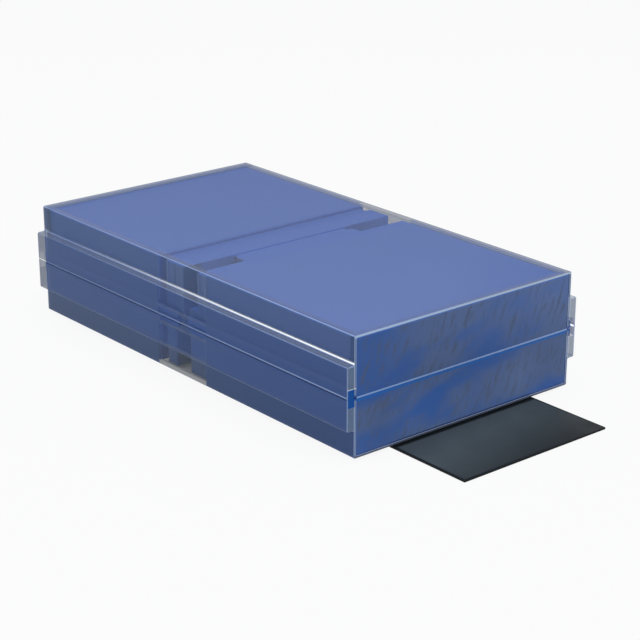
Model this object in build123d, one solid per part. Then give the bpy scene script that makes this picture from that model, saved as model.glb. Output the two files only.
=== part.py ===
"""Pouch battery cells, two layers of two end to end, in a clear two-part case with a flat lead.

Frame: +X along the case towards the lead's free end, +Y across it, +Z up. The origin is at the
middle of the case, on the surface that the pack stands on. All lengths are in millimetres.
"""
import os

from build123d import *

# --- Clear case -----------------------------------------------------------------------------
case_length = 100.0
case_width = 53.8
case_height = 23.0
case_wall = 0.5
case_edge_radius = 0.35
rim_break = 0.08

# Each long side carries a solid rail, with a tunnel at mid height for the folded pouch seals.
rail_proud = 1.7
rail_reach = 6.1
rail_radius = 0.4
tunnel_reach = 1.65
tunnel_skin = 0.3

# --- Pouch cells ----------------------------------------------------------------------------
cell_clearance = 0.05
film = 0.1
cup_radius = 0.3
bond_thickness = 0.3
fold_height = 1.4

# Electrodes: plates between the layers of one zigzag separator.
anode_count = 9
separator_thickness = 0.1
stack_clearance = 0.5
anode_margin = 0.4
cathode_margin = 0.9
foil_room = 3.0
tail_length = 0.3

tab_width = 9.0
tab_offset = 9.0
tab_leg = 2.2

# --- Terrace caps, one at each side of the middle gap --------------------------------------------
cap_gap = 1.8
cap_depth = 5.6
left_gap = 2.4
right_gap = 0.2
cap_front = 0.5
cap_wall = 0.8
cap_clearance = 0.25
cap_headroom = 0.5
cap_notch_depth = 2.6
cap_notch_width = 11.4
cap_notch_height = 7.8
lip_slit = 0.35
lip_drop = 0.25
shelf_thickness = 0.6
rib_count = 4
slit_clearance = 0.1
spacer_setback = 1.0
spacer_clearance = 0.1

# --- Flat lead: two foils between three black films ---------------------------------------------
lead_width = 35.5
lead_reach = 18.3
lead_film = 0.06
foil_thickness = 0.1
foil_margin = 2.0
tape_thickness = 0.22
tape_setback = 1.5
tape_margin = 1.25
bend_radius = 0.3
film_flap = 1.2
riser_width = 13.0
riser_clearance = 0.3
contact_length = 6.0
contact_width = 10.0
contact_spacing = 16.0

# --- Sizes that follow from the ones above -----------------------------------------------------
lead_thickness = 3 * lead_film + 2 * foil_thickness
case_base = lead_thickness + tape_thickness
case_top = case_base + case_height
mid = case_base + case_height / 2
case_end = case_length / 2
case_side = case_width / 2
rail_side = case_side + rail_proud
lead_end = case_end + lead_reach
room_side = case_side - case_wall
room_top = case_top - case_wall

cell_base = mid + bond_thickness / 2
cell_top = room_top - cell_clearance
cell_side = room_side - cell_clearance
cap_back = -cap_gap / 2 - cap_depth
seal_top = cell_base + 3 * film
fold_top = seal_top + fold_height - 3 * film
terrace_end = -(cap_gap / 2 + cap_front + slit_clearance)

plate_floor = cell_base + film
plate_ceiling = cell_top - film
plate_count = 2 * anode_count - 1
layer_count = plate_count + 1
plate_thickness = (plate_ceiling - plate_floor - layer_count * separator_thickness) / plate_count
plate_pitch = plate_thickness + separator_thickness
stack_side = cell_side - film - stack_clearance
stack_start = -case_end + film + stack_clearance

riser_half = lead_film / 2 + foil_thickness
riser_top = cell_base + film + tab_leg
riser_span = (-tab_offset - riser_width / 2, -tab_offset + riser_width / 2)
sleeve_top = 2 * mid - riser_top
bend_x = riser_half + lead_film + bend_radius
bend_z = lead_thickness + bend_radius


def slab(x, y, z):
    """A box from its (low, high) limits along each axis."""
    size = [high - low for low, high in (x, y, z)]
    centre = [(high + low) / 2 for low, high in (x, y, z)]
    return Pos(*centre) * Box(*size)


def along_case(outline, start, end):
    """Extrude a closed outline of (y, z) points from x = start to x = end."""
    face = make_face(Plane.YZ * Polyline(*outline, close=True))
    return Pos(start, 0, 0) * extrude(face, amount=end - start, dir=(1, 0, 0))


def mirrored_low(part):
    """The same piece in the lower layer."""
    return mirror(part, about=Plane.XY.offset(mid))


def turned_right(part):
    """The same piece at the other end of the case, turned half round about +Z."""
    return Rot(0, 0, 180) * part


# --- Case ---------------------------------------------------------------------------------------
def upper_case():
    """U-shaped moulding, open at both ends, with a rail and a thin skirt along each long side."""
    shell = slab((-case_end, case_end), (-case_side, case_side), (seal_top, case_top))
    top_edges = shell.edges().filter_by(Axis.X).group_by(Axis.Z)[-1]
    shell = fillet(top_edges, case_edge_radius)
    shell -= slab((-case_end, case_end), (-room_side, room_side), (mid, room_top))
    for side in (-1, 1):
        inner, outer = sorted((side * case_side, side * rail_side))
        rail = slab((-case_end, case_end), (inner, outer), (mid, mid + rail_reach))
        lip = rail.edges().filter_by(Axis.X).group_by(Axis.Z)[-1].sort_by(lambda e: abs(e.center().Y))[-1]
        rail = fillet(lip, rail_radius)
        shell += rail + rail_root(side)
        skirt_face = side * (rail_side - tunnel_skin)
        inner, outer = sorted((side * case_side, skirt_face))
        shell -= slab((-case_end, case_end), (inner, outer), (mid, mid + tunnel_reach))
    rims = shell.faces().filter_by(Axis.X).edges()
    return chamfer(rims, rim_break)


def rail_root(side):
    """The concave fillet between the top of a rail and the wall above it."""
    y = side * case_side
    z = mid + rail_reach
    centre = (y + side * rail_radius, z + rail_radius)
    corner = slab((-case_end, case_end), sorted((y, centre[0])), (z, centre[1]))
    round_cut = Pos(0, *centre) * Rot(0, 90, 0) * Cylinder(rail_radius, case_length)
    return corner - round_cut


def lower_case():
    """The same moulding upside down, with a slot in its floor for the lead's riser."""
    shell = mirrored_low(upper_case())
    reach_x = riser_half + lead_film + riser_clearance
    reach_y = riser_width / 2 + riser_clearance
    slot = slab((-reach_x, reach_x), (-tab_offset - reach_y, -tab_offset + reach_y), (0, case_base + 2 * case_wall))
    return shell - slot


def bond_sheet():
    """Clear double-sided sheet between the upper and lower cells of one end."""
    return slab((-case_end, terrace_end), (-cell_side, cell_side), (mid - bond_thickness / 2, cell_base))


# --- One cell: the upper layer's, at the -X end -----------------------------------------------------
def folded_sheet(layer):
    """One of the three layers that leave the cell at its base and fold up in the tunnels."""
    outer = case_side + (3 - layer) * film
    inner = outer - film
    low = cell_base + layer * film
    high = low + film
    outline = [(-outer, fold_top), (-outer, low), (outer, low), (outer, fold_top)]
    outline += [(inner, fold_top), (inner, high), (-inner, high), (-inner, fold_top)]
    return along_case(outline, -case_end, terrace_end)


def cup_opening(body_end, low, high):
    """The space inside the drawn cup, between two heights."""
    side = cell_side - film
    return slab((-case_end + film, body_end - film), (-side, side), (low, high))


def pouch_back():
    """Flat film that closes the cup from below."""
    return folded_sheet(0)


def heat_seal(body_end):
    """Melted sealant along both sides and across the terrace, moulded round the tabs."""
    seal = folded_sheet(1)
    side = cell_side - film
    seal -= slab((-case_end, body_end - film), (-side, side), (cell_base, seal_top))
    for y in (-tab_offset, tab_offset):
        low, high = y - tab_width / 2, y + tab_width / 2
        seal -= slab((body_end - film, terrace_end), (low, high), (cell_base, seal_top))
    return seal


def pouch_cup(body_end):
    """Film drawn into a rectangular cup, with its flange folded up beside the case wall."""
    flange_low = cell_base + 2 * film
    cup = rounded_cup(body_end, 0, cup_radius, flange_low) + folded_sheet(2)
    cup += slab((-case_end, -case_end + film), (-cell_side + film, cell_side - film), (cell_base + film, seal_top))
    cup -= cup_opening(body_end, flange_low, seal_top)
    return cup - rounded_cup(body_end, film, cup_radius - film, flange_low)


def rounded_cup(body_end, inset, radius, floor):
    """A block with its upright and top edges rounded, inset from the outside of the cup."""
    side = cell_side - inset
    block = slab((-case_end + inset, body_end - inset), (-side, side), (floor, cell_top - inset))
    low_edges = block.edges().group_by(Axis.Z)[0]
    return fillet([edge for edge in block.edges() if edge not in low_edges], radius)


def stack_end(body_end):
    """Where the separator ends, short of the foils that gather into the tabs."""
    return body_end - film - foil_room


def plate(body_end, index, margin, tab_y):
    """One electrode plate, with a bare tail that reaches out to its tab's foil bundle."""
    low = plate_floor + separator_thickness + index * plate_pitch
    z = (low, low + plate_thickness)
    side = stack_side - separator_thickness - margin
    end = stack_end(body_end)
    body = slab((stack_start + margin, end - margin), (-side, side), z)
    tail = slab((end - margin, end + tail_length), (tab_y - tab_width / 2, tab_y + tab_width / 2), z)
    return body + tail


def anodes(body_end):
    """Even plates, with their tails at the negative tab."""
    return Compound([plate(body_end, index, anode_margin, -tab_offset) for index in range(0, plate_count, 2)])


def cathodes(body_end):
    """Odd plates, a little smaller, with their tails at the positive tab."""
    return Compound([plate(body_end, index, cathode_margin, tab_offset) for index in range(1, plate_count, 2)])


def separator(body_end):
    """One sheet folded to and fro, with an electrode plate in each fold."""
    sheet = Part()
    x = (stack_start, stack_end(body_end))
    for layer in range(layer_count):
        low = plate_floor + layer * plate_pitch
        sheet += slab(x, (-stack_side, stack_side), (low, low + separator_thickness))
        if layer < plate_count:
            side = 1 if layer % 2 else -1
            y = sorted((side * stack_side, side * (stack_side - separator_thickness)))
            sheet += slab(x, y, (low, low + plate_pitch + separator_thickness))
    return sheet


def tab(body_end, y):
    """Foils gathered from the plates, and the tab that they are welded to, turned up at its end."""
    start = stack_end(body_end) + tail_length
    root = body_end - film - tail_length
    leg = -riser_half - foil_thickness
    low = cell_base + film
    high = low + foil_thickness
    top = plate_ceiling - separator_thickness
    outline = [(start, low), (start, top), (root, high), (leg, high), (leg, riser_top)]
    outline += [(-riser_half, riser_top), (-riser_half, low)]
    face = make_face(Plane.XZ * Polyline(*outline, close=True))
    return Pos(0, y - tab_width / 2, 0) * extrude(face, amount=tab_width, dir=(0, 1, 0))


# --- Middle gap -----------------------------------------------------------------------------------
def terrace_cap():
    """Hollow moulding over the terraces, notched back at its two lower corners."""
    front = -cap_gap / 2
    back = cap_back
    side = room_side - cap_clearance
    low = case_base + case_wall + cap_headroom
    high = room_top - cap_headroom
    cap = slab((back, front), (-side, side), (low, high))
    cap -= slab((back, front - cap_front), (-side + cap_wall, side - cap_wall), (low + cap_wall, high - cap_wall))
    for end in (-1, 1):
        cap = notched(cap, end * side, front, low)
    for level in (-1, 1):
        shelf = sorted((mid + level * (seal_top - mid), mid + level * (seal_top - mid + shelf_thickness)))
        cap += slab((back, front - cap_front), (-side + cap_wall, side - cap_wall), shelf)
    cap += cap_ribs(back, front, side, high)
    cap -= slab((back, front - cap_front), (-side, side), (2 * mid - seal_top, seal_top))
    for y in (-tab_offset, tab_offset):
        reach = tab_width / 2 + slit_clearance
        half = cell_base + film + foil_thickness + slit_clearance - mid
        cap -= slab((front - cap_front, front), (y - reach, y + reach), (mid - half, mid + half))
    return cap


def notched(cap, side, front, low):
    """The cap with one lower corner of its front set back, and the wall carried round the notch."""
    inward = -1 if side > 0 else 1
    notch_y = sorted((side, side + inward * cap_notch_width))
    wall_y = sorted((side, side + inward * (cap_notch_width + cap_wall)))
    top = low + cap_notch_height
    cap += slab((front - cap_notch_depth - cap_front, front), wall_y, (low, top + cap_wall))
    return cap - slab((front - cap_notch_depth, front), notch_y, (low, top))


def cap_ribs(back, front, side, high):
    """Upright ribs between the upper shelf and the cap's roof."""
    ribs = Part()
    pitch = 2 * (side - cap_wall) / (rib_count + 1)
    for index in range(1, rib_count + 1):
        y = -side + cap_wall + index * pitch
        ribs += slab(
            (back, front - cap_front),
            (y - shelf_thickness / 2, y + shelf_thickness / 2),
            (seal_top + shelf_thickness, high - cap_wall),
        )
    return ribs


def cap_lip():
    """Tongue on the left cap's roof that reaches over the middle gap, a little lower than the roof."""
    front = -cap_gap / 2
    reach = room_side - cap_clearance - cap_notch_width - cap_wall
    high = room_top - cap_headroom
    return slab((front - cap_front, front + cap_gap - lip_slit), (-reach, reach), (high - cap_wall, high - lip_drop))


def spacer_bar():
    """Bar that takes up the length between the upper left cell and its cap."""
    start = cap_back - left_gap + spacer_clearance
    half = room_side - cap_clearance - spacer_setback
    top = room_top - cap_headroom - spacer_clearance
    return slab((start, cap_back - spacer_clearance), (-half, half), (seal_top + spacer_clearance, top))


def series_link():
    """Plate that joins the tabs of both ends on one side of the gap."""
    y = (tab_offset - tab_width / 2, tab_offset + tab_width / 2)
    return slab((-riser_half, riser_half), y, (2 * mid - riser_top, riser_top))


# --- Flat lead ------------------------------------------------------------------------------------
def lead_sheet(low, high, margin):
    """A flat layer of the lead between two heights, inset from the lead's edges."""
    half = lead_width / 2 - margin
    return slab((bend_x, lead_end - margin), (-half, half), (low, high))


def riser(low, high, top):
    """The narrow branch of a layer, bent up through the floor of the case."""
    outer = bend_z - low
    inner = bend_z - high
    ring = Cylinder(outer, riser_width) - Cylinder(inner, riser_width)
    ring = Pos(bend_x, -tab_offset, bend_z) * Rot(90, 0, 0) * ring
    bend = ring & slab((bend_x - outer, bend_x), riser_span, (bend_z - outer, bend_z))
    return bend + riser_leg(low, high, top)


def riser_leg(low, high, top):
    """The upright run of a layer above its bend."""
    return slab((bend_x - bend_z + low, bend_x - bend_z + high), riser_span, (bend_z, top))


def contact_window(y, low, high):
    """Opening near the free end of the lead that bares a foil from below."""
    end = lead_end - 2 * foil_margin
    reach = contact_width / 2
    return slab((end - contact_length, end), (y - reach, y + reach), (low, high))


def edge_rim(low, high):
    """The edges where two films of the lead meet round a foil."""
    return lead_sheet(low, high, 0) - lead_sheet(low, high, foil_margin)


def lead_lower_film():
    """Black film under the lead, with one contact window for each foil."""
    half = lead_width / 2
    sheet = slab((-film_flap, lead_end), (-half, half), (0, lead_film))
    sheet += edge_rim(lead_film, lead_film + foil_thickness)
    for y in (-contact_spacing / 2, contact_spacing / 2):
        sheet -= contact_window(y, 0, lead_film)
    return sheet


def lead_negative_foil():
    """Lower copper foil, which rises on the -X side of the riser."""
    low = lead_film
    high = low + foil_thickness
    foil = lead_sheet(low, high, foil_margin) + riser(low, high, riser_top)
    return foil - contact_window(contact_spacing / 2, low, high)


def lead_middle_film():
    """Film that keeps the two foils apart."""
    low = lead_film + foil_thickness
    high = low + lead_film
    sheet = lead_sheet(low, high, 0) + riser(low, high, riser_top)
    return sheet - contact_window(contact_spacing / 2, low, high)


def lead_positive_foil():
    """Upper copper foil, which rises on the +X side of the riser."""
    low = 2 * lead_film + foil_thickness
    high = low + foil_thickness
    return lead_sheet(low, high, foil_margin) + riser(low, high, riser_top)


def lead_upper_film():
    """Black film over the lead."""
    low = 2 * lead_film + foil_thickness
    high = low + foil_thickness
    return lead_sheet(high, high + lead_film, 0) + edge_rim(low, high)


def riser_sleeve():
    """Black film on both faces of the riser, up to the tabs."""
    low_face = riser_leg(0, lead_film, sleeve_top)
    high_face = riser(lead_thickness - lead_film, lead_thickness, sleeve_top)
    return Compound([low_face, high_face])


def lead_tape():
    """Double-sided tape that holds the lead under the case."""
    half = lead_width / 2 - tape_margin
    return slab((tape_setback, case_end - tape_setback), (-half, half), (lead_thickness, case_base))


def level_strip():
    """Foam strip under the other half of the case, as thick as the lead and its tape."""
    half = lead_width / 2 - tape_margin
    return slab((-case_end + tape_setback, -tape_setback), (-half, half), (0, case_base))


# --- The whole pack --------------------------------------------------------------------------------
def cell(body_end):
    """The pieces of one cell, by name, with its body ending at a place along the case."""
    return {
        "pouch_cup": pouch_cup(body_end),
        "pouch_back": pouch_back(),
        "heat_seal": heat_seal(body_end),
        "anodes": anodes(body_end),
        "cathodes": cathodes(body_end),
        "separator": separator(body_end),
        "positive_tab": tab(body_end, tab_offset),
        "negative_tab": tab(body_end, -tab_offset),
    }


def build_pack():
    """Every piece by its node name."""
    pieces = {"upper_case": upper_case(), "lower_case": lower_case()}
    for name, piece in cell(cap_back - left_gap).items():
        pieces[f"upper_left_{name}"] = piece
        pieces[f"lower_left_{name}"] = mirrored_low(piece)
    for name, piece in cell(cap_back - right_gap).items():
        pieces[f"upper_right_{name}"] = turned_right(piece)
        pieces[f"lower_right_{name}"] = turned_right(mirrored_low(piece))
    pieces["left_bond_sheet"] = bond_sheet()
    pieces["right_bond_sheet"] = turned_right(bond_sheet())
    pieces["left_terrace_cap"] = terrace_cap() + cap_lip()
    pieces["right_terrace_cap"] = Pos(0, 0, 2 * mid) * Rot(0, 180, 0) * terrace_cap()
    pieces["upper_spacer_bar"] = spacer_bar()
    pieces["lower_spacer_bar"] = mirrored_low(spacer_bar())
    pieces["series_link"] = series_link()
    for make in (lead_lower_film, lead_negative_foil, lead_middle_film, lead_positive_foil, lead_upper_film):
        pieces[make.__name__] = make()
    pieces["riser_sleeve"] = riser_sleeve()
    pieces["lead_tape"] = lead_tape()
    pieces["level_strip"] = level_strip()
    return pieces


os.makedirs("parts", exist_ok=True)
for node, piece in build_pack().items():
    export_step(piece, f"parts/{node}.step")
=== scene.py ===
"""Looks of a battery pack: four blue pouch cells in a clear split case, with a flat black lead."""
import math

import bpy
import numpy as np
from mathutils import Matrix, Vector


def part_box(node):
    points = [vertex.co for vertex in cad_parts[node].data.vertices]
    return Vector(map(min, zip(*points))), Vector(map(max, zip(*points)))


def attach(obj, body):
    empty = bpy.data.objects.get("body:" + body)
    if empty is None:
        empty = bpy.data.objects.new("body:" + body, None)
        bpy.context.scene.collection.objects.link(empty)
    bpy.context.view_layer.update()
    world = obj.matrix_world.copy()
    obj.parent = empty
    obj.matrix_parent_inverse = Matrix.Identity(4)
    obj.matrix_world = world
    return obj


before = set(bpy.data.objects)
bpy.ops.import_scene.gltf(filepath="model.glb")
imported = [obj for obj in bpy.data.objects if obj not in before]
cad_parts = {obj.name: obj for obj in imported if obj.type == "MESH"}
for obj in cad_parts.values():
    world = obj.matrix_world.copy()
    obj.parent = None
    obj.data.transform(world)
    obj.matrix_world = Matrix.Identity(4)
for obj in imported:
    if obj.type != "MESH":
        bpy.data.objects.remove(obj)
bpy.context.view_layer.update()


# --- Electrode plates and separator ------------------------------------------------------------------
# Graphite on copper and oxide on aluminium, wet-coated, dried and rolled, so both are matt and
# finely granular. A white porous film is folded to and fro between them and holds them apart.
MM = 0.001
CELLS = ("upper_left", "lower_left", "upper_right", "lower_right")


def plug(tree, socket, value):
    """Join a socket to another socket, or give it a plain value; colours are given as three numbers."""
    if isinstance(value, bpy.types.NodeSocket):
        tree.links.new(value, socket)
    elif socket.type == "RGBA":
        socket.default_value = (*value, 1.0)
    else:
        socket.default_value = value


def add(tree, kind, settings=None, **inputs):
    """A node of one kind, with its settings, and its inputs set to values or joined to sockets."""
    node = tree.nodes.new(kind)
    for name, value in (settings or {}).items():
        setattr(node, name, value)
    for name, value in inputs.items():
        plug(tree, node.inputs[name.replace("_", " ")], value)
    return node


def sums(tree, operation, *values):
    """The result of one Math node."""
    node = add(tree, "ShaderNodeMath", {"operation": operation})
    for socket, value in zip(node.inputs, values):
        plug(tree, socket, value)
    return node.outputs[0]


def group(name, inputs, outputs):
    """An empty shader node group with named sockets, its input node and its output node."""
    tree = bpy.data.node_groups.new(name, "ShaderNodeTree")
    for socket, kind in inputs.items():
        tree.interface.new_socket(name=socket, in_out="INPUT", socket_type="NodeSocket" + kind)
    for socket, kind in outputs.items():
        tree.interface.new_socket(name=socket, in_out="OUTPUT", socket_type="NodeSocket" + kind)
    return tree, tree.nodes.new("NodeGroupInput").outputs, tree.nodes.new("NodeGroupOutput").inputs


def place(tree, made, **inputs):
    """A copy of a node group in a material, with its inputs."""
    return add(tree, "ShaderNodeGroup", {"node_tree": made}, **inputs).outputs


def material(name, **plain):
    """A material with one Principled shader, whose plain values are set on its own sockets."""
    made = bpy.data.materials.new(name)
    made.use_nodes = True
    shader = made.node_tree.nodes["Principled BSDF"]
    for socket, value in plain.items():
        shader.inputs[socket.replace("_", " ")].default_value = value
    return made, made.node_tree, shader.inputs


def whole(tree):
    """Object coordinates and the object's own normals."""
    return tree.nodes.new("ShaderNodeTexCoord").outputs


def bump(tree, height, depth):
    """A normal tilted by a height, in metres of relief."""
    return add(tree, "ShaderNodeBump", Height=height, Distance=depth, Strength=1.0).outputs[0]


def dress(finish, *nodes):
    """Give carried-over pieces their finish."""
    for name in nodes:
        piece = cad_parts[name]
        piece.data.materials.clear()
        piece.data.materials.append(finish)


def varied(tree, given, result, noise, gloss_swing):
    """Fill a group's outputs from its noise: a shaded colour, a varied gloss and a height."""
    swing = sums(tree, "SUBTRACT", noise, 0.5)
    gain = sums(tree, "MULTIPLY_ADD", swing, given["Shade"], 1.0)
    tinted = add(tree, "ShaderNodeVectorMath", {"operation": "SCALE"}, Vector=given["Colour"], Scale=gain)
    plug(tree, result["Color"], tinted.outputs[0])
    plug(tree, result["Roughness"], sums(tree, "MULTIPLY_ADD", swing, gloss_swing, given["Roughness"]))
    plug(tree, result["Height"], noise)


def grain_group():
    """Fine grain: noise that lightens and darkens a colour and lifts the surface a little."""
    tree, given, result = group(
        "grain",
        {"Vector": "Vector", "Colour": "Color", "Scale": "Float", "Shade": "Float", "Roughness": "Float"},
        {"Color": "Color", "Roughness": "Float", "Height": "Float"},
    )
    noise = add(tree, "ShaderNodeTexNoise", Vector=given["Vector"], Scale=given["Scale"], Detail=4.0)
    varied(tree, given, result, noise.outputs["Fac"], 0.3)
    return tree


grain = grain_group()


def grained(name, colour, scale, shade, roughness, gloss, relief):
    """A material in one colour with a fine grain."""
    made, tree, shader = material(name, Specular_IOR_Level=gloss)
    skin = place(
        tree, grain, Vector=whole(tree)["Object"], Colour=colour, Scale=scale, Shade=shade, Roughness=roughness
    )
    plug(tree, shader["Base Color"], skin["Color"])
    plug(tree, shader["Roughness"], skin["Roughness"])
    plug(tree, shader["Normal"], bump(tree, skin["Height"], relief))
    return made


def coated(name, colour, scale, shade):
    """A matt granular coating."""
    return grained(name, colour, scale, shade, roughness=0.8, gloss=0.2, relief=0.02 * MM)


graphite = coated("graphite_coating", (0.05, 0.05, 0.055), 9000.0, 0.9)
oxide = coated("oxide_coating", (0.10, 0.10, 0.11), 7000.0, 0.7)
porous = coated("separator_film", (0.80, 0.80, 0.78), 3000.0, 0.12)
for cell in CELLS:
    dress(graphite, cell + "_anodes")
    dress(oxide, cell + "_cathodes")
    dress(porous, cell + "_separator")


# --- Tabs and series link -----------------------------------------------------------------------------
# Strips of rolled aluminium and nickel plate, welded to the gathered foils and to each other. The
# rolls leave fine lines along the strip, so the gloss is drawn out across them.
def rolled_group():
    """Rolled metal: noise drawn out along one direction, in colour, gloss and relief."""
    tree, given, result = group(
        "rolled",
        {"Vector": "Vector", "Colour": "Color", "Lines": "Vector", "Shade": "Float", "Roughness": "Float"},
        {"Color": "Color", "Roughness": "Float", "Height": "Float"},
    )
    drawn = add(tree, "ShaderNodeVectorMath", {"operation": "MULTIPLY"})
    plug(tree, drawn.inputs[0], given["Vector"])
    plug(tree, drawn.inputs[1], given["Lines"])
    noise = add(tree, "ShaderNodeTexNoise", Vector=drawn.outputs[0], Scale=1.0, Detail=3.0)
    varied(tree, given, result, noise.outputs["Fac"], 0.35)
    return tree


rolled = rolled_group()
lines_along_x = (150.0, 9000.0, 9000.0)


def strip_metal(name, colour, roughness):
    """Bare rolled metal with its lines along the strip."""
    made, tree, shader = material(name, Metallic=1.0)
    where = whole(tree)["Object"]
    skin = place(
        tree, rolled, Vector=where, Colour=colour, Lines=lines_along_x, Shade=0.25, Roughness=roughness
    )
    plug(tree, shader["Base Color"], skin["Color"])
    plug(tree, shader["Roughness"], skin["Roughness"])
    plug(tree, shader["Normal"], bump(tree, skin["Height"], 0.006 * MM))
    return made


aluminium = strip_metal("rolled_aluminium", (0.80, 0.81, 0.82), 0.34)
nickel = strip_metal("nickel_plate", (0.64, 0.61, 0.56), 0.28)
for cell in CELLS:
    dress(aluminium, cell + "_positive_tab")
    dress(nickel, cell + "_negative_tab")
dress(nickel, "series_link")


# --- Pouches ------------------------------------------------------------------------------------------
# Aluminium foil between blue nylon and a sealant, drawn into a cup, closed by a flat back and
# welded round its rim. The draw leaves dull slanting marks on the end walls, where it stretches most.
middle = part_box("upper_case")[0][2]
pouch_end = 45.0 * MM


def ramp(tree, value, low, high, start=0.0, end=1.0, soft=False):
    """A value that goes from start to end while another goes from low to high."""
    node = add(tree, "ShaderNodeMapRange", {"interpolation_type": "SMOOTHSTEP" if soft else "LINEAR"})
    plug(tree, node.inputs["Value"], value)
    for name, number in (("From Min", low), ("From Max", high), ("To Min", start), ("To Max", end)):
        plug(tree, node.inputs[name], number)
    return node.outputs["Result"]


def mixed(tree, share, first, second):
    """Two colours mixed by a share of the second."""
    node = add(tree, "ShaderNodeMix", {"data_type": "RGBA"})
    plug(tree, node.inputs[0], share)
    plug(tree, node.inputs[6], first)
    plug(tree, node.inputs[7], second)
    return node.outputs[2]


def axes(tree, vector):
    """The X, Y and Z of a vector."""
    return add(tree, "ShaderNodeSeparateXYZ", Vector=vector).outputs


def absolute(tree, value):
    """A value without its sign."""
    return sums(tree, "ABSOLUTE", value)


def rest_of(tree, share):
    """What a share leaves of one."""
    return sums(tree, "SUBTRACT", 1.0, share)


def times(tree, *values):
    """Several values multiplied together."""
    product = values[0]
    for value in values[1:]:
        product = sums(tree, "MULTIPLY", product, value)
    return product


def marks_and_light_group():
    """Draw marks: soft clouds and short leaning dashes on the end walls, thick in places, and painted light
    towards one upper corner.
    """
    tree, given, result = group(
        "draw_marks_and_light",
        {
            "Vector": "Vector",
            "Normal": "Vector",
            "Colour": "Color",
            "Wall": "Color",
            "Cloud": "Color",
            "Dash": "Color",
            "Thin": "Color",
        },
        {"Color": "Color", "Mask": "Float"},
    )
    spot = axes(tree, given["Vector"])
    facing = axes(tree, given["Normal"])

    def leaning(angle, across, up, **settings):
        """Noise drawn out along a direction that leans from upright in the end wall."""
        lean = add(
            tree, "ShaderNodeVectorRotate", {"rotation_type": "X_AXIS"}, Vector=given["Vector"], Angle=angle
        )
        drawn = add(tree, "ShaderNodeMapping", Vector=lean.outputs[0], Scale=(1.0, across, up))
        noise = add(tree, "ShaderNodeTexNoise", Vector=drawn.outputs[0], Scale=1.0, Detail=2.0, **settings)
        return noise.outputs["Fac"]

    streaks = leaning(0.35, 900.0, 230.0, Roughness=0.6)
    clouds = leaning(-0.25, 62.0, 150.0)
    veil = ramp(tree, clouds, 0.30, 0.56, soft=True)
    thick = times(tree, ramp(tree, streaks, 0.47, 0.68, soft=True), veil)
    outermost = ramp(tree, absolute(tree, spot["X"]), pouch_end - 1.0 * MM, pouch_end + 1.0 * MM)
    ends = times(tree, ramp(tree, absolute(tree, facing["X"]), 0.60, 0.85), outermost)

    # The clouds thin out towards one side, but for a swath across the lower cell
    one_side = ramp(tree, spot["Y"], -26.0 * MM, -8.0 * MM, 0.85, 0.0, soft=True)
    swath_foot = ramp(tree, spot["Z"], 4.0 * MM, 6.0 * MM)
    swath_head = ramp(tree, spot["Z"], 9.0 * MM, 12.0 * MM, 1.0, 0.0)
    bare = times(tree, one_side, rest_of(tree, times(tree, swath_foot, swath_head)))
    clouded = mixed(tree, times(tree, veil, rest_of(tree, bare)), given["Wall"], given["Cloud"])

    # Painted light: the end wall is painted paler towards the other side's upper corner, where more light
    # falls
    aside = ramp(tree, spot["Y"], -22.0 * MM, 26.0 * MM)
    lit_corner = times(tree, aside, ramp(tree, spot["Z"], 11.0 * MM, 20.0 * MM))
    clouded = mixed(tree, times(tree, lit_corner, 0.55), clouded, given["Thin"])
    dashed = mixed(tree, times(tree, thick, 0.65), clouded, given["Dash"])
    plug(tree, result["Color"], mixed(tree, ends, given["Colour"], dashed))
    plug(tree, result["Mask"], times(tree, thick, ends))
    return tree


draw_marks_and_light = marks_and_light_group()


def pouch_film():
    """Satin blue nylon over foil, with a fine orange-peel and the marks of the draw, and painted light and
    shade: darker sides and end walls, and end walls lighter towards the bottom over the lead.
    """
    made, tree, shader = material("pouch_film", Specular_IOR_Level=0.17)
    where = whole(tree)
    spot = axes(tree, where["Object"])
    facing = axes(tree, where["Normal"])
    skin = place(
        tree,
        grain,
        Vector=where["Object"],
        Colour=(0.065, 0.173, 0.63),
        Scale=1400.0,
        Shade=0.05,
        Roughness=0.5,
    )
    # Painted light: over the lead, the end walls are painted lighter towards the bottom, where shade falls
    over_lead = ramp(tree, absolute(tree, spot["Y"]), 12.0 * MM, 22.0 * MM, 1.0, 0.05, soft=True)
    low = times(tree, ramp(tree, spot["Z"], 0.6 * MM, middle, 1.0, 0.0), over_lead)
    sides = ramp(tree, absolute(tree, facing["Y"]), 0.8, 0.95)
    drawn = place(
        tree,
        draw_marks_and_light,
        Vector=where["Object"],
        Normal=where["Normal"],
        # Painted shade: the sides and the end walls are painted darker blues than the top
        Colour=mixed(tree, sides, skin["Color"], (0.041, 0.118, 0.425)),
        Wall=mixed(tree, low, (0.045, 0.135, 0.44), (0.10, 0.25, 0.75)),
        Cloud=mixed(tree, low, (0.105, 0.170, 0.36), (0.21, 0.32, 0.64)),
        Dash=mixed(tree, low, (0.110, 0.140, 0.22), (0.19, 0.24, 0.38)),
        # Painted light on the end wall's upper corner
        Thin=(0.17, 0.26, 0.55),
    )

    # A band of adhesive on the ends, just under the parting line
    on_end = ramp(tree, absolute(tree, facing["X"]), 0.60, 0.85)
    band_foot = ramp(tree, spot["Z"], middle - 0.9 * MM, middle - 0.6 * MM)
    band_head = ramp(tree, spot["Z"], middle, middle + 0.01 * MM, 0.8, 0.0)
    glued = times(tree, on_end, band_foot, band_head)
    plug(tree, shader["Base Color"], mixed(tree, glued, drawn["Color"], (0.02, 0.17, 0.60)))
    plug(tree, shader["Roughness"], sums(tree, "MULTIPLY_ADD", drawn["Mask"], 0.2, skin["Roughness"]))
    plug(tree, shader["Normal"], bump(tree, skin["Height"], 0.001 * MM))
    return made


def melted(name, colour, roughness, gloss=0.5):
    """Sealant that has flowed between the films and set with a faint swirl."""
    return grained(name, colour, 500.0, 0.2, roughness, gloss, relief=0.01 * MM)


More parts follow.
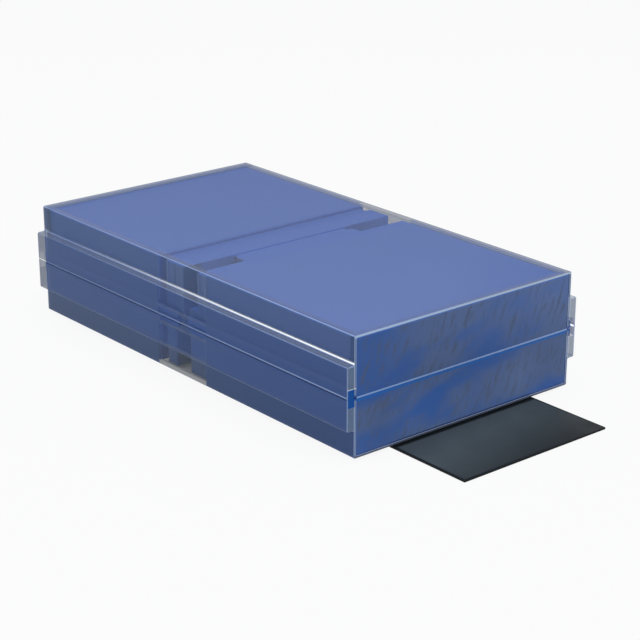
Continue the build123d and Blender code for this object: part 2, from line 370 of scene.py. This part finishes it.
film = pouch_film()
sealant = melted("heat_seal", (0.02, 0.10, 0.42), 0.4)
for cell in CELLS:
    dress(film, cell + "_pouch_cup")
    dress(sealant, cell + "_pouch_back", cell + "_heat_seal")


# --- Bond sheets --------------------------------------------------------------------------------------
# Clear film with adhesive on both faces, laid between the upper and lower cell of each end. It is
# painted pale blue all through: a painted highlight for the light that its cut edge gathers, which shows as a
# pale line.
bond_film = melted("bond_film", (0.30, 0.48, 0.85), 0.3)
dress(bond_film, "left_bond_sheet", "right_bond_sheet")


# --- Terrace caps and spacer bars ---------------------------------------------------------------------
# Blue moulded caps over the tab ends of the cells, one on each side of the gap, and a bar that fills
# the rest of the left bay. The tool is finely spark-eroded, and a light rub shows along the edges.
def edges_group():
    """Edges: how far the normal leans away from all three axes, as it does on every rounded edge."""
    tree, given, result = group("edges", {"Normal": "Vector", "Full": "Float"}, {"Mask": "Float"})
    upright = add(tree, "ShaderNodeVectorMath", {"operation": "ABSOLUTE"}, Vector=given["Normal"])
    part = axes(tree, upright.outputs[0])
    largest = sums(tree, "MAXIMUM", sums(tree, "MAXIMUM", part["X"], part["Y"]), part["Z"])
    plug(tree, result["Mask"], ramp(tree, rest_of(tree, largest), 0.01, given["Full"], soft=True))
    return tree


edges = edges_group()


def cap_plastic():
    """Matt blue plastic with a fine spark finish, with painted light and shade."""
    made, tree, shader = material("cap_plastic", Specular_IOR_Level=0.2)
    where = whole(tree)
    spot = axes(tree, where["Object"])
    facing = axes(tree, where["Normal"])
    skin = place(
        tree,
        grain,
        Vector=where["Object"],
        Colour=(0.065, 0.177, 0.66),
        Scale=2600.0,
        Shade=0.14,
        Roughness=0.6,
    )
    rubbed = place(tree, edges, Normal=where["Normal"], Full=0.2)["Mask"]
    # Painted shade: faces that don't look up are painted a darker blue than the roofs
    roof = ramp(tree, facing["Z"], 0.5, 0.9)
    colour = mixed(tree, roof, (0.048, 0.128, 0.42), skin["Color"])
    colour = mixed(tree, rubbed, colour, (0.12, 0.23, 0.60))
    # Painted shade: the plastic is painted a darker blue towards the end of the left cell, which shades it
    by_cell = ramp(tree, spot["X"], -8.9 * MM, -4.0 * MM, 0.7, 0.0)
    colour = mixed(tree, by_cell, colour, (0.03, 0.12, 0.55))

    # Upright flutes on the sides, drawn only in colour: painted light on their crests and painted shade in
    # their grooves
    side = ramp(tree, absolute(tree, facing["Y"]), 0.9, 0.95)
    along = add(tree, "ShaderNodeCombineXYZ", X=times(tree, spot["X"], 1500.0)).outputs[0]
    flutes = add(tree, "ShaderNodeTexNoise", Vector=along, Scale=1.0, Detail=1.0).outputs["Fac"]
    crests = times(tree, side, ramp(tree, flutes, 0.48, 0.62))
    colour = mixed(tree, crests, colour, (0.13, 0.20, 0.43))
    grooves = times(tree, side, ramp(tree, flutes, 0.42, 0.36))
    colour = mixed(tree, grooves, colour, (0.03, 0.08, 0.30))

    # The upper part of the front, in the light that comes down into the gap
    front = times(
        tree,
        ramp(tree, facing["X"], 0.9, 0.95),
        ramp(tree, spot["Z"], 18.5 * MM, 20.0 * MM),
        ramp(tree, spot["Y"], -22.5 * MM, -21.5 * MM),
    )
    plug(tree, shader["Base Color"], mixed(tree, front, colour, (0.09, 0.25, 0.88)))
    plug(tree, shader["Roughness"], skin["Roughness"])
    plug(tree, shader["Normal"], bump(tree, skin["Height"], 0.002 * MM))
    return made


dress(cap_plastic(), "left_terrace_cap", "right_terrace_cap", "upper_spacer_bar", "lower_spacer_bar")


# --- Clear case ---------------------------------------------------------------------------------------
# Two thin mouldings in smoky clear plastic, open at both ends and welded together along the skirts
# of their rails. Rims and rounded edges carry painted highlights, and along the weld a painted highlight line
# lies over a painted shade line.
case_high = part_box("upper_case")[1]
base_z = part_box("lower_case")[0][2]
top_z = case_high[2]
end_x = case_high[0]
rail_side = case_high[1]
rail_proud = 1.7 * MM
wall_side = rail_side - rail_proud
rail_reach = 6.1 * MM
tunnel_reach = 1.7 * MM
gap_left, gap_right = -8.9 * MM, 6.7 * MM
sharp = 0.05 * MM


def most(tree, *values):
    """The largest of several values."""
    largest = values[0]
    for value in values[1:]:
        largest = sums(tree, "MAXIMUM", largest, value)
    return largest


def beyond(tree, value, limit, soft):
    """1 where a value is past a limit, 0 short of it, with a soft side before the limit."""
    return ramp(tree, value, limit - soft, limit)


def short_of(tree, value, limit, soft):
    """1 where a value is short of a limit, 0 past it, with a soft side after the limit."""
    return ramp(tree, value, limit, limit + soft, 1.0, 0.0)


def within(tree, value, low, high, soft):
    """1 where a value lies between two limits, 0 outside them, with soft sides."""
    rises = ramp(tree, value, low - soft, low + soft)
    falls = ramp(tree, value, high - soft, high + soft, 1.0, 0.0)
    return times(tree, rises, falls)


def clear_case():
    """Smoky clear plastic: see-through faces, with pale rims and edges that let less through, and painted
    light and shade over much of it.
    """
    made, tree, shader = material(
        "clear_case", Roughness=0.22, Specular_IOR_Level=0.08, Emission_Strength=1.0
    )
    made.cycles.emission_sampling = "NONE"

    layers = []

    def lay(mask, colour, cover=None):
        """Lay a colour over those before it, and let it cover a share of what lies behind."""
        layers.append((mask, colour, cover))

    where = whole(tree)
    spot = axes(tree, where["Object"])
    facing = axes(tree, where["Normal"])
    out_y = absolute(tree, spot["Y"])
    height = sums(tree, "SUBTRACT", spot["Z"], middle)
    near_seam = absolute(tree, height)
    rounded = place(tree, edges, Normal=where["Normal"], Full=0.2)["Mask"]
    rim = ramp(tree, absolute(tree, facing["X"]), 0.85, 0.95)
    side = ramp(tree, absolute(tree, facing["Y"]), 0.9, 0.95)
    flat = ramp(tree, facing["Z"], 0.9, 0.95)
    rearward = ramp(tree, facing["X"], -0.5, -0.3, 1.0, 0.0)
    along = ramp(tree, spot["X"], -end_x, end_x)
    near = ramp(tree, spot["Y"], -5.0 * MM, 5.0 * MM, 1.0, 0.0)
    far = rest_of(tree, near)
    on_wall = short_of(tree, out_y, wall_side + 0.02 * MM, 0.03 * MM)
    bare = within(tree, spot["X"], gap_left, gap_right, sharp)
    covered = rest_of(tree, bare)

    # Plain faces: a slow haze with a painted light gradient, lighter towards the left end; the top painted
    # paler than the sides, paler towards its near right and darker towards the far end; a painted grey sheen
    # on the ledge; painted shade below the rail
    haze_and_shade = place(
        tree,
        grain,
        Vector=where["Object"],
        Colour=mixed(tree, along, (0.195, 0.235, 0.26), (0.16, 0.20, 0.25)),
        Scale=60.0,
        Shade=0.10,
        Roughness=0.22,
    )
    slope = sums(tree, "SUBTRACT", spot["X"], spot["Y"])
    far_end = ramp(tree, sums(tree, "ADD", spot["X"], spot["Y"]), 45.0 * MM, 72.0 * MM)
    top = mixed(tree, ramp(tree, slope, -60.0 * MM, 70.0 * MM), (0.16, 0.18, 0.22), (0.24, 0.285, 0.38))
    plain = mixed(tree, flat, haze_and_shade["Color"], mixed(tree, far_end, top, (0.14, 0.18, 0.26)))
    below = times(tree, side, short_of(tree, height, -rail_reach - 0.3 * MM, 0.3 * MM))
    lay(below, mixed(tree, along, (0.15, 0.165, 0.17), (0.07, 0.09, 0.105)), 0.36)
    ledge = times(tree, flat, beyond(tree, out_y, wall_side + 0.4 * MM, 0.2 * MM))
    lay(ledge, (0.30, 0.33, 0.37), 0.45)

    # Margins painted in the cell's lit blue, lighter towards the left end, over the shade that would show
    # through near the ends and at the foot, with a painted glow along the top's near edge
    ends = beyond(tree, absolute(tree, spot["X"]), end_x - 1.0 * MM, 0.3 * MM)
    left_end = times(tree, side, short_of(tree, spot["X"], -end_x + 1.9 * MM, 0.3 * MM))
    foot = times(tree, side, short_of(tree, height, -rail_reach, 0.1 * MM))
    brow = times(tree, flat, near, beyond(tree, out_y, wall_side - 1.2 * MM, 0.2 * MM))
    margin = times(tree, most(tree, ends, left_end, foot, brow), covered, on_wall)
    lit_cell_blue = mixed(tree, along, (0.088, 0.130, 0.240), (0.052, 0.097, 0.235))
    lay(margin, mixed(tree, flat, lit_cell_blue, (0.10, 0.155, 0.38)), 0.92)

    # Painted light: the floor and foot of the middle gap, which lie in shade, are painted light grey, and
    # painted shade dims the top's near edge over the gap
    floor_gap = times(tree, flat, short_of(tree, spot["Z"], base_z + 0.6 * MM, 0.2 * MM))
    foot_gap = times(tree, side, short_of(tree, spot["Z"], base_z + 1.0 * MM, 0.1 * MM))
    lit_gap_foot = times(tree, most(tree, floor_gap, foot_gap), bare, on_wall)
    lit_gap_grey = mixed(tree, flat, (0.42, 0.43, 0.44), (0.70, 0.71, 0.72))
    lay(lit_gap_foot, lit_gap_grey, ramp(tree, flat, 0.0, 1.0, 0.85, 0.74))
    lay(times(tree, brow, bare, on_wall), (0.14, 0.17, 0.27), 0.62)

    # Bands along the far and left edges of the top, and the far wall in the gap
    from_far = sums(tree, "SUBTRACT", wall_side, spot["Y"])
    from_edge = sums(tree, "MINIMUM", from_far, sums(tree, "ADD", spot["X"], end_x))
    outskirt = times(tree, flat, on_wall, short_of(tree, from_edge, 1.75 * MM, 0.1 * MM))
    lay(times(tree, outskirt, covered), (0.115, 0.165, 0.37), 0.92)
    edge_zone = short_of(tree, from_edge, 1.10 * MM, 0.1 * MM)
    lay(times(tree, outskirt, most(tree, edge_zone, bare)), (0.24, 0.285, 0.395), 0.80)
    lay(times(tree, outskirt, bare), (0.28, 0.31, 0.37))
    far_wall = times(tree, side, far, bare, on_wall, beyond(tree, height, rail_reach + 0.1 * MM, 0.1 * MM))
    lay(far_wall, (0.40, 0.45, 0.56), 0.42)

    # Skirt of the rail, which hides the folded seals behind it everywhere but over the middle gap, painted
    # lighter towards the left end
    outer = times(tree, side, beyond(tree, out_y, rail_side - 0.05 * MM, 0.05 * MM))
    window = within(tree, spot["X"], gap_left + 2.7 * MM, gap_right + 2.7 * MM, sharp)
    far_tip = times(tree, far, beyond(tree, spot["X"], end_x - 2.9 * MM, 0.1 * MM))
    skirt_cover = times(tree, 0.87, sums(tree, "MULTIPLY_ADD", window, -0.34, 1.0), rest_of(tree, far_tip))
    lay(outer, mixed(tree, along, (0.080, 0.131, 0.298), (0.058, 0.111, 0.290)), skirt_cover)
    stub = times(tree, outer, short_of(tree, spot["X"], -end_x + 2.8 * MM, 0.1 * MM))
    lay(stub, (0.27, 0.30, 0.37), 0.85)
    # Painted highlight along the weld, brighter towards the right end and near white at the left stub
    bright = mixed(tree, along, (0.15, 0.215, 0.41), (0.31, 0.42, 0.70))
    pale = times(tree, outer, within(tree, height, 0.26 * MM, 0.50 * MM, 0.03 * MM))
    lay(pale, mixed(tree, stub, bright, (0.90, 0.92, 0.95)), 1.0)
    # Painted shade in the groove between the halves, under the highlight
    dark = times(tree, outer, within(tree, height, -0.04 * MM, 0.22 * MM, 0.03 * MM), rest_of(tree, stub))
    lay(dark, (0.004, 0.02, 0.10), 0.8)

    # The inner side of the far skirt, painted light grey where it lies in shade in the tunnel, with a painted
    # white line of light along the weld that glows near the far end
    inner_skin = within(tree, out_y, rail_side - 0.34 * MM, rail_side - 0.26 * MM, 0.01 * MM)
    inner_skirt = times(tree, side, far, inner_skin)
    lit_weld_line = times(tree, inner_skirt, within(tree, height, 0.0, 0.4 * MM, 0.03 * MM))
    lay(inner_skirt, (0.70, 0.74, 0.82), 0.85)
    lay(lit_weld_line, (1.0, 1.0, 1.0), 1.0)
    glow = mixed(tree, times(tree, lit_weld_line, far_tip), (0.0, 0.0, 0.0), (0.8, 0.8, 0.8))

    # Cut rims at the open ends, with painted highlights: pale lines along the faces of the wall and the rail,
    # a near white line on the tunnel's roof and a bright top rim; the rim near the floor is painted in shade
    wall_lines = most(
        tree,
        within(tree, out_y, wall_side - 0.52 * MM, wall_side - 0.36 * MM, 0.02 * MM),
        within(tree, out_y, wall_side - 0.12 * MM, wall_side + 0.10 * MM, 0.02 * MM),
    )
    rail_lines = most(
        tree,
        beyond(tree, out_y, rail_side - 0.20 * MM, 0.04 * MM),
        beyond(tree, height, rail_reach - 0.22 * MM, 0.04 * MM),
    )
    outline = most(tree, wall_lines, times(tree, rail_lines, rest_of(tree, on_wall)))
    roof_line = within(tree, height, tunnel_reach - 0.06 * MM, tunnel_reach + 0.20 * MM, 0.02 * MM)
    topmost = beyond(tree, spot["Z"], top_z - 0.5 * MM, 0.1 * MM)
    shaded = short_of(tree, spot["Z"], base_z + 0.5 * MM, 0.2 * MM)
    cut = mixed(tree, outline, (0.20, 0.28, 0.41), (0.50, 0.62, 0.90))
    cut = mixed(tree, times(tree, roof_line, near), cut, (0.85, 0.95, 1.0))
    cut = mixed(tree, topmost, cut, (0.62, 0.80, 1.0))
    cut = mixed(tree, shaded, cut, (0.15, 0.17, 0.21))
    lay(rim, cut, sums(tree, "MULTIPLY_ADD", rearward, -0.75, 0.75))

    # Rounded edges with a painted highlight, brighter where they face up and fainter towards the left end,
    # greyer along the far top edge and darker on the near rail; the rearward ones nearly unseen
    lit = ramp(tree, facing["Z"], -0.55, 0.35)
    edge = mixed(tree, lit, (0.27, 0.37, 0.60), (0.37, 0.50, 0.86))
    edge = mixed(tree, times(tree, far, topmost), edge, (0.42, 0.46, 0.54))
    on_rail = ramp(tree, out_y, wall_side + 0.8 * MM, wall_side + 1.0 * MM, 0.0, 0.5)
    edge = mixed(tree, times(tree, on_rail, near), edge, (0.11, 0.145, 0.26))
    seen = sums(tree, "MULTIPLY_ADD", rearward, -0.95, 1.0)
    highlight_fainter_left = ramp(tree, spot["X"], -50.0 * MM, 20.0 * MM, 0.45, 0.85)
    lay(rounded, edge, times(tree, seen, highlight_fainter_left))
    downward = times(tree, rounded, ramp(tree, facing["Z"], -0.3, -0.1, 1.0, 0.0))
    lay(downward, None, times(tree, seen, covered, ramp(tree, on_wall, 0.0, 1.0, 0.60, 0.95)))
    border = times(tree, side, on_wall, short_of(tree, spot["X"], -end_x + 0.35 * MM, 0.1 * MM))
    lay(most(tree, border, rearward), (0.23, 0.29, 0.37))
    lay(border, None, 0.85)

    # Painted highlight in the root of the rail, near white and metallic so that it mirrors the room, which
    # fades towards the left
    root_skin = within(tree, out_y, wall_side - 0.02 * MM, wall_side + 0.28 * MM, 0.01 * MM)
    root_height = within(tree, height, rail_reach + 0.12 * MM, rail_reach + 0.56 * MM, 0.03 * MM)
    root_highlight_fade = ramp(tree, spot["X"], -50.0 * MM, 20.0 * MM, 0.20, 0.95, soft=True)
    root = times(tree, root_skin, root_height, root_highlight_fade, rest_of(tree, rim))
    lay(root, (0.93, 0.96, 1.0), 1.0)

    # The tunnel and the mating faces of the skirts are clearer than the plain faces
    tunnel_height = short_of(tree, near_seam, tunnel_reach, 0.05 * MM)
    tunnel_room = within(tree, out_y, wall_side - 0.02 * MM, rail_side - 0.1 * MM, 0.01 * MM)
    mating = short_of(tree, near_seam, 0.005 * MM, 0.005 * MM)
    inside = times(tree, most(tree, times(tree, tunnel_height, tunnel_room), mating), rest_of(tree, rim))
    clear = sums(tree, "MULTIPLY_ADD", inside, -0.20, 0.225)
    covers = [times(tree, clear, sums(tree, "MULTIPLY_ADD", rearward, -0.8, 1.0))]

    colour = plain
    for mask, tone, cover in layers:
        if tone is not None:
            colour = mixed(tree, mask, colour, tone)
        if cover is not None:
            covers.append(times(tree, mask, cover))

    # Light on its way to the pieces inside passes the case almost freely
    path = add(tree, "ShaderNodeLightPath").outputs
    lighting = sums(tree, "MAXIMUM", path["Is Shadow Ray"], path["Is Diffuse Ray"])
    passed = sums(tree, "MULTIPLY_ADD", lighting, -0.85, 1.0)
    plug(tree, shader["Base Color"], colour)
    # Painted reflection: the root's highlight line is made metallic
    plug(tree, shader["Metallic"], root)
    # Painted light: the white line along the weld glows near the far end
    plug(tree, shader["Emission Color"], glow)
    plug(tree, shader["Alpha"], times(tree, most(tree, *covers), passed))
    return made


dress(clear_case(), "upper_case", "lower_case")


# --- Tunnel plug --------------------------------------------------------------------------------------
# A small block of blue in the open end of one rail's tunnel, beside the lead, over the ends of the folded
# seals, flush with the end of the case. It is painted light: its blue shows the seal ends as if lit, over the
# shade that falls inside the tunnel.
plug_length = 1.2 * MM
plug_reach = 1.62 * MM
plug_wall, plug_skin = wall_side + 0.02 * MM, rail_side - 0.32 * MM


def block(name, low, high):
    """A plain box: its eight corners lie between a low and a high corner, its six faces turn outward."""
    low, high = np.array(low), np.array(high)
    unit = np.array([(x, y, z) for x in (0, 1) for y in (0, 1) for z in (0, 1)], dtype=float)
    sides = ((0, 1, 3, 2), (4, 6, 7, 5), (0, 4, 5, 1), (2, 3, 7, 6), (0, 2, 6, 4), (1, 5, 7, 3))
    mesh = bpy.data.meshes.new(name)
    mesh.from_pydata((low + unit * (high - low)).tolist(), [], sides)
    piece = bpy.data.objects.new(name, mesh)
    bpy.context.scene.collection.objects.link(piece)
    return piece


blue_plug = block(
    "blue_tunnel_plug",
    (end_x - plug_length, -plug_skin, middle - plug_reach),
    (end_x + 0.01 * MM, -plug_wall, middle + plug_reach),
)
blue_plug.data.materials.append(melted("tunnel_end_lit_blue", (0.012, 0.11, 0.44), 0.5, 0.1))
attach(blue_plug, "root")


# --- Flat lead ----------------------------------------------------------------------------------------
# Two copper foils laminated between three black films, taped under the case, with a narrow branch
# that rises through the floor to the tabs. The films are welded and trimmed to a dark edge.
lead_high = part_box("lead_upper_film")[1]


def black_film():
    """Satin black film with faint clouding, darker in the trimmed and pressed edge, with painted shade towards
    its far end and a painted shadow where it leaves the case.
    """
    made, tree, shader = material("black_film", Specular_IOR_Level=0.12)
    where = whole(tree)["Object"]
    spot = axes(tree, where)
    clouds = place(
        tree, grain, Vector=where, Colour=(0.070, 0.090, 0.104), Scale=160.0, Shade=0.35, Roughness=0.55
    )
    # Painted shade: the film is painted darker towards its far right end
    slope = sums(tree, "MULTIPLY_ADD", spot["Y"], 0.25, spot["X"])
    shaded_far_end = ramp(tree, slope, 56.0 * MM, 70.0 * MM)
    colour = mixed(tree, shaded_far_end, clouds["Color"], (0.013, 0.017, 0.020))
    in_y = sums(tree, "SUBTRACT", lead_high[1], absolute(tree, spot["Y"]))
    in_x = sums(tree, "SUBTRACT", lead_high[0], spot["X"])
    inward = sums(tree, "MINIMUM", in_y, in_x)
    pressed = ramp(tree, inward, 0.15 * MM, 0.6 * MM, 1.0, 0.0, soft=True)
    # Painted shadow of the case: a dark band where the lead comes out from under it
    case_shadow = ramp(tree, spot["X"], end_x + 0.5 * MM, end_x + 1.1 * MM, 1.0, 0.0, soft=True)
    dark_edge_and_shadow = sums(tree, "MAXIMUM", pressed, case_shadow)
    plug(tree, shader["Base Color"], mixed(tree, dark_edge_and_shadow, colour, (0.006, 0.009, 0.012)))
    plug(tree, shader["Roughness"], clouds["Roughness"])
    plug(tree, shader["Normal"], bump(tree, clouds["Height"], 0.06 * MM))
    return made


black = black_film()
copper = strip_metal("rolled_copper", (0.80, 0.46, 0.31), 0.3)
dress(black, "lead_lower_film", "lead_middle_film", "lead_upper_film", "riser_sleeve")
dress(copper, "lead_negative_foil", "lead_positive_foil")
dress(coated("tape", (0.035, 0.035, 0.038), 2500.0, 0.4), "lead_tape")


# --- Level strip --------------------------------------------------------------------------------------
# Closed-cell foam under the other half of the case, as thick as the lead and its tape, so that the
# pack stands level. Its skin is cut through and shows small cells.
def foam():
    """Black foam: round cells of a Voronoi pattern as pits in a matt skin, with painted shade at the bottoms
    of the pits.
    """
    made, tree, shader = material("foam", Specular_IOR_Level=0.2, Roughness=0.9)
    cells = add(tree, "ShaderNodeTexVoronoi", Vector=whole(tree)["Object"], Scale=3500.0)
    depth = cells.outputs["Distance"]
    # Painted shade: the pits are painted darker towards their bottoms
    skin = mixed(tree, ramp(tree, depth, 0.1, 0.7), (0.02, 0.02, 0.022), (0.06, 0.06, 0.065))
    plug(tree, shader["Base Color"], skin)
    plug(tree, shader["Normal"], bump(tree, depth, 0.08 * MM))
    return made


dress(foam(), "level_strip")


# --- Camera -------------------------------------------------------------------------------------------
# A long lens looks down on the lead's end and the near long side of the case.
azimuth = math.radians(50.257)
elevation = math.radians(20.280)
aim = Vector((0.00496, 0.00285, 0.00671))
distance = 0.36982
heading = Vector((
    -math.sin(azimuth) * math.cos(elevation),
    math.cos(azimuth) * math.cos(elevation),
    -math.sin(elevation),
))
lens = bpy.data.cameras.new("camera")
lens.sensor_width = 36.0
lens.lens = 103.618
camera = bpy.data.objects.new("camera", lens)
camera.location = aim - heading * distance
camera.rotation_euler = heading.to_track_quat("-Z", "Y").to_euler()
bpy.context.scene.collection.objects.link(camera)
bpy.context.scene.camera = camera
bpy.context.scene.view_settings.view_transform = "Standard"


# --- Studio -------------------------------------------------------------------------------------------
# A white room with a pale floor, one large soft lamp overhead and a smaller one beside the case.
def lamp(name, spot, size, watts):
    """A square lamp turned to face the middle of the case."""
    light = bpy.data.lights.new(name, "AREA")
    light.size = size
    light.energy = watts
    holder = bpy.data.objects.new(name, light)
    holder.location = spot
    holder.rotation_euler = (-Vector(spot)).to_track_quat("-Z", "Y").to_euler()
    bpy.context.scene.collection.objects.link(holder)


lamp("overhead_lamp", (0.14, -0.02, 0.70), 0.6, 2.6)
lamp("side_lamp", (-0.25, -0.65, 0.25), 0.5, 0.85)


def seen_straight(tree):
    """1 for what the camera sees straight, in a mirror or through glass, 0 for light on the object."""
    path = tree.nodes.new("ShaderNodeLightPath").outputs
    mirrored = sums(tree, "MAXIMUM", path["Is Camera Ray"], path["Is Glossy Ray"])
    return sums(tree, "MAXIMUM", mirrored, path["Is Transmission Ray"])


room = bpy.data.worlds.new("room")
room.use_nodes = True
bpy.context.scene.world = room
tree = room.node_tree
tree.nodes.clear()
light = add(tree, "ShaderNodeBackground", Color=(0.93, 0.96, 1.0), Strength=0.36)
wall = add(tree, "ShaderNodeBackground", Color=(1.0, 1.0, 1.0), Strength=1.0)
chosen = add(tree, "ShaderNodeMixShader")
plug(tree, chosen.inputs[0], seen_straight(tree))
plug(tree, chosen.inputs[1], light.outputs[0])
plug(tree, chosen.inputs[2], wall.outputs[0])
add(tree, "ShaderNodeOutputWorld", Surface=chosen.outputs[0])

reach = 3.0
drop = -0.05 * MM
floor_mesh = bpy.data.meshes.new("floor")
corners = [(-reach, -reach, drop), (reach, -reach, drop), (reach, reach, drop), (-reach, reach, drop)]
floor_mesh.from_pydata(corners, [], [(0, 1, 2, 3)])
floor = bpy.data.objects.new("floor", floor_mesh)
bpy.context.scene.collection.objects.link(floor)
paint, tree, shader = material("floor_paint", Roughness=0.9, Specular_IOR_Level=0.1)
plug(tree, shader["Base Color"], (0.85, 0.85, 0.85))
lift = add(tree, "ShaderNodeEmission")
lifted = add(tree, "ShaderNodeMixShader")
plug(tree, lifted.inputs[0], times(tree, seen_straight(tree), 0.90))
plug(tree, lifted.inputs[1], tree.nodes["Principled BSDF"].outputs[0])
plug(tree, lifted.inputs[2], lift.outputs[0])
plug(tree, tree.nodes["Material Output"].inputs["Surface"], lifted.outputs[0])
paint.cycles.emission_sampling = "NONE"
floor_mesh.materials.append(paint)
